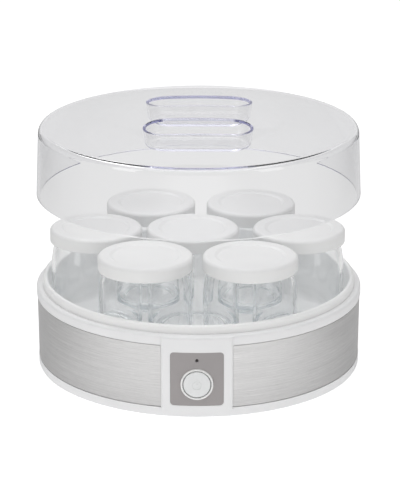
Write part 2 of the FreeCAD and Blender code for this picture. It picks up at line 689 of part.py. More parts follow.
# ---- rear cord inlet ----
def make_cord_grommet():
    """Two flanges and a square waist between them, with the cord's bore right through."""
    seat = BAND_RADIUS_LOW + 0.3
    inner_face = 110.1
    inner_flange = SKIRT_INNER_LOW - 0.6
    small_flange = GROMMET_FLANGE - 0.4
    back = turned_about_y([(0, inner_face, 0), (small_flange, inner_face, 0.4),
                           (small_flange, inner_flange, 0.3), (0, inner_flange, 0)], GROMMET_Z)
    front = turned_about_y([(0, seat, 0), (GROMMET_FLANGE, seat, 0.3),
                            (GROMMET_FLANGE, -BUTTON_FRONT, 1.6), (0, -BUTTON_FRONT, 0)], GROMMET_Z)
    half = GROMMET_WAIST / 2
    waist = block(-half, half, inner_flange - 1, seat + 1, GROMMET_Z - half, GROMMET_Z + half)
    uprights = edges_at(waist, lambda edge: edge.BoundBox.YLength > 1)
    waist = waist.makeChamfer(0.6, uprights)
    return join([back, waist, front]).cut(front_cylinder(GROMMET_BORE, 100, 125, GROMMET_Z))


# ---- clear cover ----
def filled_dome(inset, shoulder, low):
    """Solid shape of the cover, drawn in by the wall thickness for its inside."""
    dome_radius = DOME_RADIUS - inset
    draft = (COVER_LOW_RADIUS - COVER_HIGH_RADIUS) / COVER_HEIGHT
    wall_foot = V(COVER_LOW_RADIUS - inset + draft * (COVER_LOW - low), 0, low)
    outward = V(1, 0, draft).normalize()
    up_wall = V(-draft, 0, 1).normalize()
    # The shoulder's centre lies on a line beside the wall, as far from the dome's centre as both radii allow.
    beside = wall_foot - outward * shoulder
    along = (DOME_CENTRE - beside).dot(up_wall)
    across = (DOME_CENTRE - beside - up_wall * along).Length
    centre = beside + up_wall * (along + math.sqrt((dome_radius - shoulder) ** 2 - across ** 2))
    to_dome = (centre - DOME_CENTRE).normalize()
    wall_top = centre + outward * shoulder
    shoulder_middle = centre + (outward + to_dome).normalize() * shoulder
    dome_edge = DOME_CENTRE + to_dome * dome_radius
    dome_middle = DOME_CENTRE + (to_dome + UP).normalize() * dome_radius
    flat_high = math.sqrt(dome_radius ** 2 - CROWN_FLAT ** 2)
    crown_edge = DOME_CENTRE + V(CROWN_FLAT, 0, flat_high)
    crown = DOME_CENTRE + V(0, 0, flat_high)
    outline = Part.Wire([
        Part.LineSegment(V(0, 0, low), wall_foot).toShape(),
        Part.LineSegment(wall_foot, wall_top).toShape(),
        Part.Arc(wall_top, shoulder_middle, dome_edge).toShape(),
        Part.Arc(dome_edge, dome_middle, crown_edge).toShape(),
        Part.LineSegment(crown_edge, crown).toShape(),
        Part.LineSegment(crown, V(0, 0, low)).toShape(),
    ])
    return Part.Face(outline).revolve(V(0, 0, 0), UP, 360)


def pocket(centre_y, grow, floor):
    """Finger pocket with drafted sides, wider by grow all round, down to its floor."""
    slope = POCKET_DRAFT / POCKET_DEPTH
    outlines = []
    for z in (floor, COVER_TOP + 4):
        spread = 2 * (grow + slope * (z - POCKET_TOP))
        outlines.append(rounded_rectangle(POCKET_LENGTH + spread, POCKET_WIDTH + spread,
                                          POCKET_CORNER + spread / 2, z, centre_y))
    solid = Part.makeLoft(outlines, True, True)
    floor_edges = edges_at(solid, lambda edge: edge.BoundBox.ZMax < floor + 0.01)
    return solid.makeFillet(POCKET_FLOOR_ROUND + grow, floor_edges)


def make_cover():
    outside = filled_dome(0, COVER_SHOULDER, COVER_LOW)
    inside = filled_dome(COVER_WALL, COVER_INNER_SHOULDER, COVER_LOW - 1)
    shell = outside.cut(inside)
    floor = POCKET_TOP - POCKET_DEPTH
    cavities = []
    for side in (-1, 1):
        centre_y = side * POCKET_CENTRE_Y
        cup = pocket(centre_y, COVER_WALL, floor - COVER_WALL).common(outside)
        shell = shell.fuse(cup)
        cavities.append(pocket(centre_y, 0, floor))
    shell = shell.cut(group(cavities)).removeSplitter()
    shell = shell.makeFillet(POCKET_RIM_ROUND, edges_at(shell, is_pocket_rim))
    edge_height = 1.5
    trim = cylinder(COVER_LOW_RADIUS + 1, COVER_LOW - 1, COVER_LOW + edge_height)
    return join([shell.cut(trim), cover_edge(edge_height)])


def cover_edge(height):
    """Rounded lower edge of the cover, in place of the trimmed end of its wall."""
    top = COVER_LOW + height
    lean = height * (COVER_LOW_RADIUS - COVER_HIGH_RADIUS) / COVER_HEIGHT
    inner = COVER_LOW_RADIUS - COVER_WALL
    return turned([(inner, COVER_LOW, 0.5), (COVER_LOW_RADIUS, COVER_LOW, 0.9),
                   (COVER_LOW_RADIUS - lean, top, 0), (inner - lean, top, 0)])


def is_pocket_rim(edge):
    """Where a pocket's side meets the outer face of the dome."""
    centre = edge.CenterOfMass
    near_middle = math.hypot(centre.x, centre.y) < POCKET_LENGTH
    point = edge.valueAt(edge.FirstParameter)
    on_dome = abs((point - DOME_CENTRE).Length - DOME_RADIUS) < 0.05
    return near_middle and on_dome and edge.BoundBox.ZMin > COVER_TOP - 5


# ---- jars and their lids ----
def make_jar(centre):
    inner = JAR_BODY_RADIUS - JAR_GLASS
    neck_inner = JAR_NECK_RADIUS - JAR_GLASS
    bead_radius = LID_RADIUS - LID_SKIRT - 0.4
    base = 5.0
    return turned([
        (0, 1.6, 0), (20, 1.6, 2.0), (23.5, 0, 2.0), (JAR_BODY_RADIUS, 0, 5.0),
        (JAR_BODY_RADIUS, 55, 60), (JAR_NECK_RADIUS, 68.3, 3), (JAR_NECK_RADIUS, 69.6, 0.6),
        (bead_radius, 71.0, 0.6), (bead_radius, JAR_HEIGHT, 1.4), (neck_inner + 0.5, JAR_HEIGHT, 1.2),
        (neck_inner, 67.5, 8), (inner, 54.5, 55), (inner, base, 6.0), (0, base, 0),
    ], centre, JAR_FLATS)


def make_jar_lid(centre):
    recess = LID_HEIGHT - LID_RECESS
    under = LID_HEIGHT - LID_PLATE
    plug_low = under - LID_PLUG_DEPTH
    plug_inner = LID_PLUG_RADIUS - LID_PLUG_WALL
    under_recess = recess - LID_PLATE + 0.2
    return turned([
        (0, recess, 0), (LID_RECESS_RADIUS, recess, 0.8), (LID_RECESS_RADIUS + 2.0, LID_HEIGHT, 0.8),
        (LID_RADIUS, LID_HEIGHT, LID_EDGE_ROUND), (LID_RADIUS, 0, 0.5), (LID_RADIUS - LID_SKIRT, 0, 0.4),
        (LID_RADIUS - LID_SKIRT, under, 1.8), (LID_PLUG_RADIUS, under, 0.3), (LID_PLUG_RADIUS, plug_low, 0.4),
        (plug_inner, plug_low, 0.3), (plug_inner, under_recess, 0.3), (0, under_recess, 0),
    ], centre, JAR_FLATS)


PIECES = {
    "lower_housing": make_lower_housing,
    "rubber_feet": make_feet,
    "housing_screws": make_housing_screws,
    "well": make_well,
    "upper_housing": make_upper_housing,
    "steel_band": make_steel_band,
    "panel_label": make_panel_label,
    "button_bezel": make_button_bezel,
    "power_button": make_power_button,
    "switch_plunger": make_switch_plunger,
    "tact_switch": make_tact_switch,
    "light_pipe": make_light_pipe,
    "status_led": make_status_led,
    "control_board": make_control_board,
    "board_connectors": make_board_connectors,
    "heat_spreader": make_heat_spreader,
    "heating_cord": make_heating_cord,
    "insulation_pad": make_insulation_pad,
    "heater_clamp_plate": make_heater_clamp_plate,
    "clamp_screws": make_clamp_screws,
    "thermostat": make_thermostat,
    "thermal_fuse": make_thermal_fuse,
    "power_board": make_power_board,
    "power_board_screws": make_power_board_screws,
    "relay": make_relay,
    "film_capacitor": make_film_capacitor,
    "smoothing_capacitor": make_smoothing_capacitor,
    "terminal_block": make_terminal_block,
    "heater_leads": make_heater_leads,
    "signal_cable": make_signal_cable,
    "cord_grommet": make_cord_grommet,
    "cover": make_cover,
}

for name, make in PIECES.items():
    save(name, make())

for place_name, angle, distance in JAR_PLACES:
    save("jar_" + place_name, make_jar(polar(distance, angle, JAR_LOW)))
    save("jar_lid_" + place_name, make_jar_lid(polar(distance, angle, LID_TOP - LID_HEIGHT)))
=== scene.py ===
import math

import bmesh
import bpy
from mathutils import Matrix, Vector
from mathutils.geometry import delaunay_2d_cdt


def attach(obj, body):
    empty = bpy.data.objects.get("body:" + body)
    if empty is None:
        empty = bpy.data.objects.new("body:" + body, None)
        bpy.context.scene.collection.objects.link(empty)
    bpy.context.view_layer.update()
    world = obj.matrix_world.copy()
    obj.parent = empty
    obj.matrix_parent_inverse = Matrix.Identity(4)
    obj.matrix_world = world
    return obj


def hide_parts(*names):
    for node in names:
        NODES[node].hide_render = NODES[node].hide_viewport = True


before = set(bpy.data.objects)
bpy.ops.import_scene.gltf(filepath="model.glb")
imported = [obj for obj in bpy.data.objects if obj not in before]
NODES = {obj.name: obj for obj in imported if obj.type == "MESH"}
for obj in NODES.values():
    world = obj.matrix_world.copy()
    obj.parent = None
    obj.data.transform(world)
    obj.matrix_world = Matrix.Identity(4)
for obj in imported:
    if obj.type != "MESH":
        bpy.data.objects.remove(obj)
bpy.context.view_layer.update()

# Looks of the yogurt maker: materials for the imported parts, a white studio, and the camera.
# Metres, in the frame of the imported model: +Z up, the control panel faces -Y.

MM = 0.001
CRISP_EDGE = math.radians(50)    # sharper turns than this stay crisp
BRUSHED_RADIUS = 0.1165          # of the steel band


# ---- node helpers ----
class Shader:
    """A material and short ways to add and join its nodes."""

    def __init__(self, name):
        self.material = bpy.data.materials.new(name)
        self.material.use_nodes = True
        self.tree = self.material.node_tree
        self.tree.nodes.clear()
        self.output = self.node("ShaderNodeOutputMaterial")

    def node(self, kind, **settings):
        made = self.tree.nodes.new(kind)
        for key, value in settings.items():
            setattr(made, key, value)
        return made

    def link(self, start, end):
        self.tree.links.new(start, end)

    def principled(self, **values):
        shader = self.node("ShaderNodeBsdfPrincipled")
        for key, value in values.items():
            shader.inputs[key.replace("_", " ")].default_value = value
        return shader

    def position(self):
        return self.node("ShaderNodeTexCoord").outputs["Object"]

    def math(self, operation, first, second=None):
        made = self.node("ShaderNodeMath", operation=operation)
        for socket, value in zip(made.inputs, (first, second)):
            if value is None:
                continue
            if isinstance(value, (int, float)):
                socket.default_value = value
            else:
                self.link(value, socket)
        return made.outputs[0]

    def noise(self, vector, scale, detail=3.0, roughness=0.55):
        made = self.node("ShaderNodeTexNoise")
        made.inputs["Scale"].default_value = scale
        made.inputs["Detail"].default_value = detail
        made.inputs["Roughness"].default_value = roughness
        self.link(vector, made.inputs["Vector"])
        return made.outputs["Fac"]

    def scaled(self, vector, factors):
        made = self.node("ShaderNodeVectorMath", operation="MULTIPLY")
        made.inputs[1].default_value = factors
        self.link(vector, made.inputs[0])
        return made.outputs[0]

    def around_axis(self, radius):
        """Distance round the Z axis, zero, and height, as a vector in metres."""
        split = self.node("ShaderNodeSeparateXYZ")
        self.link(self.position(), split.inputs[0])
        angle = self.math("ARCTAN2", split.outputs[1], split.outputs[0])
        joined = self.node("ShaderNodeCombineXYZ")
        self.link(self.math("MULTIPLY", angle, radius), joined.inputs[0])
        self.link(split.outputs[2], joined.inputs[2])
        return joined.outputs[0]

    def spread(self, value, low, high):
        """Value from 0 to 1 turned into the range low to high."""
        made = self.node("ShaderNodeMapRange")
        made.inputs["To Min"].default_value = low
        made.inputs["To Max"].default_value = high
        self.link(value, made.inputs["Value"])
        return made.outputs[0]

    def ramped(self, value, start, end, low, high):
        """Smooth change from low to high while the value goes from start to end."""
        made = self.node("ShaderNodeMapRange", interpolation_type="SMOOTHSTEP")
        for socket, number in zip(("From Min", "From Max", "To Min", "To Max"), (start, end, low, high)):
            made.inputs[socket].default_value = number
        self.link(value, made.inputs["Value"])
        return made.outputs[0]

    def tint(self, value, first, second):
        """Colour between two colours by a value from 0 to 1."""
        ramp = self.node("ShaderNodeValToRGB")
        ramp.color_ramp.elements[0].position = 0.3
        ramp.color_ramp.elements[0].color = (*first, 1)
        ramp.color_ramp.elements[1].position = 0.7
        ramp.color_ramp.elements[1].color = (*second, 1)
        self.link(value, ramp.inputs[0])
        return ramp.outputs[0]

    def bump(self, shader, height, strength, distance):
        made = self.node("ShaderNodeBump")
        made.inputs["Strength"].default_value = strength
        made.inputs["Distance"].default_value = distance
        self.link(height, made.inputs["Height"])
        self.link(made.outputs[0], shader.inputs["Normal"])

    def finish(self, shader):
        self.link(shader.outputs[0], self.output.inputs["Surface"])
        return self.material


# ---- materials ----
def moulded(name, light, dark, roughness, grain=900, bump=0.05, coat=0.0):
    """Injection-moulded plastic: faint mottling, uneven gloss and a fine skin."""
    shader = Shader(name)
    place = shader.position()
    body = shader.principled(Coat_Weight=coat, Coat_Roughness=0.08)
    cloud = shader.noise(place, 35, 3)
    fine = shader.noise(place, grain, 2)
    shader.link(shader.tint(cloud, dark, light), body.inputs["Base Color"])
    shader.link(shader.spread(cloud, roughness - 0.04, roughness + 0.04), body.inputs["Roughness"])
    shader.bump(body, fine, bump, 0.0002)
    return shader.finish(body)


def brushed_steel():
    """Stainless sheet brushed along its length: short fine scratches round the band."""
    shader = Shader("brushed_steel")
    around = shader.around_axis(BRUSHED_RADIUS)
    body = shader.principled(Metallic=1.0, Anisotropic=0.6)
    long_scratch = shader.noise(shader.scaled(around, (60, 1, 4200)), 1.0, 4, 0.6)
    short_scratch = shader.noise(shader.scaled(around, (260, 1, 9000)), 1.0, 3, 0.6)
    cloud = shader.noise(shader.scaled(around, (9, 1, 1300)), 1.0, 3, 0.6)
    mixed = shader.math("ADD", shader.math("MULTIPLY", long_scratch, 0.6),
                        shader.math("MULTIPLY", short_scratch, 0.4))
    tone = shader.math("ADD", shader.math("MULTIPLY", mixed, 0.75), shader.math("MULTIPLY", cloud, 0.25))
    shader.link(shader.tint(tone, (0.46, 0.455, 0.455), (0.80, 0.795, 0.79)), body.inputs["Base Color"])
    shader.link(shader.spread(mixed, 0.30, 0.48), body.inputs["Roughness"])
    shader.bump(body, mixed, 0.25, 0.0002)
    return shader.finish(body)


def metal(name, light, dark, roughness, grain=300):
    """Plain sheet or turned metal with a slightly uneven surface."""
    shader = Shader(name)
    body = shader.principled(Metallic=1.0)
    cloud = shader.noise(shader.position(), grain, 3)
    shader.link(shader.tint(cloud, dark, light), body.inputs["Base Color"])
    shader.link(shader.spread(cloud, roughness - 0.06, roughness + 0.06), body.inputs["Roughness"])
    shader.bump(body, cloud, 0.1, 0.0002)
    return shader.finish(body)


def clear(name, tint, ior, edge_colour, edge_density, waviness, wave_scale, lamp_tint):
    """Transparent solid. Lamps and soft light shine straight through it, so that what it covers is lit."""
    shader = Shader(name)
    glass = shader.principled(Transmission_Weight=1.0, Roughness=0.0, IOR=ior)
    glass.inputs["Base Color"].default_value = (*tint, 1)
    wave = shader.noise(shader.position(), wave_scale, 1)
    shader.bump(glass, wave, waviness, 0.001)
    path = shader.node("ShaderNodeLightPath")
    shown = glass
    for ray in ("Is Diffuse Ray", "Is Shadow Ray"):
        see = shader.node("ShaderNodeBsdfTransparent")
        see.inputs["Color"].default_value = (*lamp_tint, 1)
        mix = shader.node("ShaderNodeMixShader")
        shader.link(path.outputs[ray], mix.inputs[0])
        shader.link(shown.outputs[0], mix.inputs[1])
        shader.link(see.outputs[0], mix.inputs[2])
        shown = mix
    body = shader.node("ShaderNodeVolumeAbsorption")
    body.inputs["Color"].default_value = (*edge_colour, 1)
    body.inputs["Density"].default_value = edge_density
    shader.link(body.outputs[0], shader.output.inputs["Volume"])
    return shader.finish(shown)


def assign(material, *names):
    for name in names:
        slots = NODES[name].data.materials
        slots.clear()
        slots.append(material)


# ---- turned and moulded clear pieces, rebuilt finely so that they bend light cleanly ----
def line_points(start, end, support=0.5):
    """Points inside a straight run: one near each end, so that shading stays flat between them."""
    length = math.dist(start, end)
    if length < 6 * support:
        return []
    near = support / length
    across, up = end[0] - start[0], end[1] - start[1]
    return [(start[0] + across * share, start[1] + up * share) for share in (near, 1 - near)]


def rounded_profile(corners, step=math.radians(9)):
    """Points (radius, height) along an outline of (radius, height, rounding) corners, in millimetres."""
    ends = []
    for index, (x, z, radius) in enumerate(corners):
        corner = Vector((x, z))
        if radius == 0:
            ends.append([tuple(corner)])
            continue
        to_before = (Vector(corners[index - 1][:2]) - corner).normalized()
        to_after = (Vector(corners[index + 1][:2]) - corner).normalized()
        half = to_before.angle(to_after) / 2
        turn = math.pi - 2 * half
        centre = corner + (to_before + to_after).normalized() * (radius / math.sin(half))
        first = corner + to_before * (radius / math.tan(half)) - centre
        side = 1 if to_before.cross(to_after) < 0 else -1
        count = max(2, math.ceil(turn / step))
        arc = []
        for number in range(count + 1):
            angle = side * turn * number / count
            turned = Vector((first.x * math.cos(angle) - first.y * math.sin(angle),
                             first.x * math.sin(angle) + first.y * math.cos(angle)))
            arc.append(tuple(centre + turned))
        ends.append(arc)
    points = list(ends[0])
    for before, arc in zip(ends, ends[1:]):
        points.extend(line_points(before[-1], arc[0]))
        points.extend(arc)
    return points


class MeshMaker:
    """Collects vertices in millimetres and faces, then makes one smooth-shaded object."""

    def __init__(self):
        self.points = []
        self.faces = []

    def ring(self, points):
        start = len(self.points)
        self.points.extend(points)
        return list(range(start, len(self.points)))

    def bridge(self, low, high):
        """Quads between two closed loops with as many points."""
        for index in range(len(low)):
            after = (index + 1) % len(low)
            self.faces.append((low[index], low[after], high[after], high[index]))

    def make(self, name, material):
        mesh = bpy.data.meshes.new(name)
        mesh.from_pydata([(x * MM, y * MM, z * MM) for x, y, z in self.points], [], self.faces)
        made = bmesh.new()
        made.from_mesh(mesh)
        bmesh.ops.remove_doubles(made, verts=made.verts, dist=0.000001)
        bmesh.ops.recalc_face_normals(made, faces=made.faces)
        made.to_mesh(mesh)
        made.free()
        mesh.shade_smooth()
        mesh.set_sharp_from_angle(angle=CRISP_EDGE)
        mesh.materials.append(material)
        piece = bpy.data.objects.new(name, mesh)
        bpy.context.scene.collection.objects.link(piece)
        return piece


def circle(radius, z, centre, segments):
    return [(centre[0] + radius * math.cos(2 * math.pi * i / segments),
             centre[1] + radius * math.sin(2 * math.pi * i / segments), z) for i in range(segments)]


def lathe(maker, profile, centre=(0, 0), segments=128):
    """Turn a profile about an upright axis; ends on the axis are closed by fans."""
    rings = []
    for radius, z in profile:
        if radius < 0.001:
            rings.append(maker.ring([(centre[0], centre[1], z)]))
        else:
            rings.append(maker.ring(circle(radius, z, centre, segments)))
    for low, high in zip(rings, rings[1:]):
        if len(low) == 1 or len(high) == 1:
            tip, loop = (low[0], high) if len(low) == 1 else (high[0], low)
            for index in range(len(loop)):
                maker.faces.append((tip, loop[index], loop[(index + 1) % len(loop)]))
        else:
            maker.bridge(low, high)


# The cover, as in the part's source.
COVER_LOW = 128.9
COVER_TOP = 188.1
COVER_LOW_RADIUS = 116.3
COVER_HIGH_RADIUS = 113.7
COVER_HEIGHT = COVER_TOP - COVER_LOW
COVER_WALL = 2.2
DOME_SAG = 9.8
DOME_RADIUS = (COVER_HIGH_RADIUS ** 2 + DOME_SAG ** 2) / (2 * DOME_SAG)
DOME_CENTRE = COVER_TOP - DOME_RADIUS
SHOULDER = 5.0
INNER_SHOULDER = 2.8
POCKET_HALF = (36.7, 16.5)
POCKET_CORNER = 15.5
POCKET_DEPTH = 13.8
POCKET_SLOPE = 2.0 / POCKET_DEPTH
POCKET_TOP = COVER_TOP - 1       # about where the pockets break through the dome
POCKET_FLOOR = POCKET_TOP - POCKET_DEPTH
POCKET_FLOOR_ROUND = 2.0
POCKET_RIM_ROUND = 1.2
POCKET_CENTRE_Y = 35.0
DOME_JOIN = 101.0                # inside this radius the dome is triangles, outside it is rings
COVER_SEGMENTS = 240
SHOULDER_STEPS = 14
DOME_RING_SHARES = (0.06, 0.3, 0.65, 1.0)
CORNER_STEPS = 14                # round each corner of a pocket
STRAIGHT_STEPS = 12              # along each of its straight sides
RIM_STEPS = 6
RIM_SUPPORT = 0.5                # a loop this far outside the rim keeps the dome's shading even
FLOOR_FLAT = 9.0                 # width of the pocket floor's outer strip
DOME_SPACING = 3.6
DOME_ROW = 0.866 * DOME_SPACING  # rows of an even triangle grid
OUTER_GAP = 2.2                  # clear of the loops that bound the triangles
POCKET_GAP = 3.4


def dome_height(x, y, inset):
    return DOME_CENTRE + math.sqrt((DOME_RADIUS - inset) ** 2 - x * x - y * y)


def arc_points(centre, radius, start, end, steps):
    angles = [start + (end - start) * step / steps for step in range(steps + 1)]
    return [(centre.x + radius * math.cos(angle), centre.y + radius * math.sin(angle)) for angle in angles]


def cover_side_profile(inset):
    """Wall, shoulder and outer part of the dome, from the wall's foot inwards."""
    draft = (COVER_LOW_RADIUS - COVER_HIGH_RADIUS) / COVER_HEIGHT
    outward = Vector((1, draft)).normalized()
    up_wall = Vector((-draft, 1)).normalized()
    foot = Vector((COVER_LOW_RADIUS - inset, COVER_LOW))
    middle = Vector((0, DOME_CENTRE))
    radius = SHOULDER if inset == 0 else INNER_SHOULDER
    dome = DOME_RADIUS - inset
    beside = foot - outward * radius
    along = (middle - beside).dot(up_wall)
    across = (middle - beside - up_wall * along).length
    centre = beside + up_wall * (along + math.sqrt((dome - radius) ** 2 - across ** 2))
    start = math.atan2(outward.y, outward.x)
    towards = centre - middle
    end = math.atan2(towards.y, towards.x)
    shoulder = arc_points(centre, radius, start, end, SHOULDER_STEPS)
    dome_run = []
    radius_now = shoulder[-1][0]
    for share in DOME_RING_SHARES:
        x = radius_now + (DOME_JOIN - radius_now) * share
        dome_run.append((x, dome_height(x, 0, inset)))
    return foot, shoulder, dome_run


def pocket_outline():
    """Base outline of a finger pocket: points and outward directions."""
    half_x, half_y = POCKET_HALF[0] - POCKET_CORNER, POCKET_HALF[1] - POCKET_CORNER
    outline = []
    for corner_x, corner_y, start in ((half_x, half_y, 0), (-half_x, half_y, 90), (-half_x, -half_y, 180),
                                      (half_x, -half_y, 270)):
        for step in range(CORNER_STEPS + 1):
            angle = math.radians(start + 90 * step / CORNER_STEPS)
            way = (math.cos(angle), math.sin(angle))
            outline.append((corner_x + POCKET_CORNER * way[0], corner_y + POCKET_CORNER * way[1], *way))
        if start in (0, 180):
            sign = -1 if start == 0 else 1
            for step in range(1, STRAIGHT_STEPS):
                along = corner_x + sign * 2 * half_x * step / STRAIGHT_STEPS
                outline.append((along, *outline[-1][1:]))
    return outline


def pocket_rings(centre_y, inset, rim_radius, floor, floor_round):
    """Loops of a pocket's surface from the dome down to its floor."""
    columns = []
    for x, y, way_x, way_y in pocket_outline():
        def place(offset):
            return x + way_x * offset, centre_y + y + way_y * offset

        def wall(z):
            return inset + POCKET_SLOPE * (z - POCKET_TOP)

        def surface(offset):
            return dome_height(*place(offset), inset)

        # The rim's rounding touches the sloping wall and the curved dome: its centre is found step by step.
        wall_normal = Vector((-1, POCKET_SLOPE)).normalized()
        centre = Vector((rim_radius, surface(rim_radius) - rim_radius))
        for _ in range(6):
            slope = surface(centre.x + 0.5) - surface(centre.x - 0.5)
            dome_normal = Vector((-slope, 1)).normalized()
            centre.y = surface(centre.x) - rim_radius / dome_normal.y
            centre.x = wall(centre.y) + rim_radius / -wall_normal.x
        if rim_radius > 0:
            start = math.atan2(dome_normal.y, dome_normal.x)
            end = math.atan2(wall_normal.y, wall_normal.x)
            column = arc_points(centre, rim_radius, start, end, RIM_STEPS)
        else:
            column = [(centre.x, centre.y)]
        beside = column[0][0] + RIM_SUPPORT
        column.insert(0, (beside, surface(beside)))
        foot = (wall(floor), floor)
        top = column[-1]
        bottom = rounded_profile([(*top, 0), (*foot, floor_round), (foot[0] - FLOOR_FLAT, floor, 0)],
                                 math.radians(13))
        column.extend(bottom[1:])
        columns.append([(*place(offset), z) for offset, z in column])
    return list(zip(*columns))


def cover_skin(maker, inset):
    """One side of the cover: outer skin with inset 0, inner skin with the wall's thickness."""
    foot, shoulder, dome_run = cover_side_profile(inset)
    rim_radius = POCKET_RIM_ROUND if inset == 0 else 0.0
    rings = [maker.ring(circle(radius, z, (0, 0), COVER_SEGMENTS)) for radius, z in shoulder + dome_run]
    for low, high in zip(rings, rings[1:]):
        maker.bridge(low, high)
    loops = [rings[-1]]
    for side_y in (-POCKET_CENTRE_Y, POCKET_CENTRE_Y):
        levels = [maker.ring(loop) for loop in
                  pocket_rings(side_y, inset, rim_radius, POCKET_FLOOR - inset, POCKET_FLOOR_ROUND + inset)]
        for low, high in zip(levels, levels[1:]):
            maker.bridge(low, high)
        maker.faces.append(tuple(levels[-1]))
        loops.append(levels[0])
    fill_dome(maker, loops, inset)
    return rings[0], foot


def fill_dome(maker, loops, inset):
    """Even triangles over the dome between its outer loop and the two pockets."""
    points, edges = [], []
    for loop in loops:
        start = len(points)
        points.extend(Vector(maker.points[index][:2]) for index in loop)
        edges.extend((start + i, start + (i + 1) % len(loop)) for i in range(len(loop)))
    known = [index for loop in loops for index in loop]
    for row in range(int(2 * DOME_JOIN / DOME_ROW) + 1):
        y = -DOME_JOIN + row * DOME_ROW
        for column in range(int(2 * DOME_JOIN / DOME_SPACING) + 1):
            x = -DOME_JOIN + (column + 0.5 * (row % 2)) * DOME_SPACING
            if math.hypot(x, y) <= DOME_JOIN - OUTER_GAP and pocket_gap(x, y) >= inset + POCKET_GAP:
                points.append(Vector((x, y)))
                known.append(None)
    found = delaunay_2d_cdt(points, edges, [], 0, 1e-5)
    new_index = {}
    for number, (place, origins) in enumerate(zip(found[0], found[3])):
        old = known[origins[0]] if origins else None
        if old is None:
            old = maker.ring([(place.x, place.y, dome_height(place.x, place.y, inset))])[0]
        new_index[number] = old
    rims = [set(loop) for loop in loops[1:]]
    for face in found[2]:
        corners = tuple(new_index[number] for number in face)
        if not any(rim.issuperset(corners) for rim in rims):
            maker.faces.append(corners)


def pocket_gap(x, y):
    """Distance outside the nearer pocket's base outline, negative inside."""
    along = abs(x) - (POCKET_HALF[0] - POCKET_CORNER)
    across = abs(abs(y) - POCKET_CENTRE_Y) - (POCKET_HALF[1] - POCKET_CORNER)
    if along > 0 and across > 0:
        return math.hypot(along, across) - POCKET_CORNER
    return max(along, across) - POCKET_CORNER


def make_cover(material):
    """Outer and inner skin, joined by the wall and its rounded lower edge."""
    maker = MeshMaker()
    outer_top, outer_foot = cover_skin(maker, 0.0)
    inner_top, inner_foot = cover_skin(maker, COVER_WALL)
    inner_shoulder = maker.points[inner_top[0]]
    outer_shoulder = maker.points[outer_top[0]]
    edge = rounded_profile([
        (inner_shoulder[0], inner_shoulder[2], 0), (inner_foot.x, COVER_LOW, 0.5),
        (outer_foot.x, COVER_LOW, 0.9), (outer_shoulder[0], outer_shoulder[2], 0)])
    lathe(maker, edge, segments=COVER_SEGMENTS)
    piece = maker.make("clear_cover", material)
    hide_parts("cover")
    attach(piece, "cover")


# Angle and distance of each jar from the middle of the well.
JAR_PLACES = {
    "front_left": (-120.0, 73.0), "front_right": (-60.0, 73.0), "left": (180.0, 74.2), "right": (0.0, 72.5),
    "rear_left": (120.0, 73.0), "rear_right": (58.0, 73.0), "centre": (180.0, 4.2),
}
# Outlines of a jar and its lid as (radius, height, rounding) corners, from the axis round to the axis.
JAR_PROFILE = [
    (0, 1.6, 0), (20, 1.6, 2.0), (23.5, 0, 2.0), (32.7, 0, 5.0), (32.7, 55, 60), (29.9, 68.3, 3),
    (29.9, 69.6, 0.6), (31.5, 71.0, 0.6), (31.5, 76.6, 1.4), (28.0, 76.6, 1.2), (27.5, 67.5, 8),
    (30.3, 54.5, 55), (30.3, 5, 6.0), (0, 5, 0),
]
LID_PROFILE = [
    (0, 9.0, 0), (22.9, 9.0, 0.8), (24.9, 10.0, 0.8), (33.3, 10.0, 2.6), (33.3, 0, 0.5), (31.9, 0, 0.4),
    (31.9, 8.4, 1.8), (26.2, 8.4, 0.3), (26.2, 5.7, 0.4), (25.0, 5.7, 0.3), (25.0, 7.6, 0.3), (0, 7.6, 0),
]
JAR_LOW = 23.6
LID_LOW = 92.1


def make_jars(glass, plastic):
    for name, (angle, distance) in JAR_PLACES.items():
        turn = math.radians(angle)
        centre = (distance * math.cos(turn), distance * math.sin(turn))
        for node, profile, material, low, slot in (("jar_", JAR_PROFILE, glass, JAR_LOW, "jar_glass"),
                                                   ("jar_lid_", LID_PROFILE, plastic, LID_LOW, "lid_white")):
            maker = MeshMaker()
            lathe(maker, [(x, z + low) for x, z in rounded_profile(profile)], centre)
            piece = maker.make("turned_" + node + name, material)
            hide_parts(node + name)
            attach(piece, node + name)


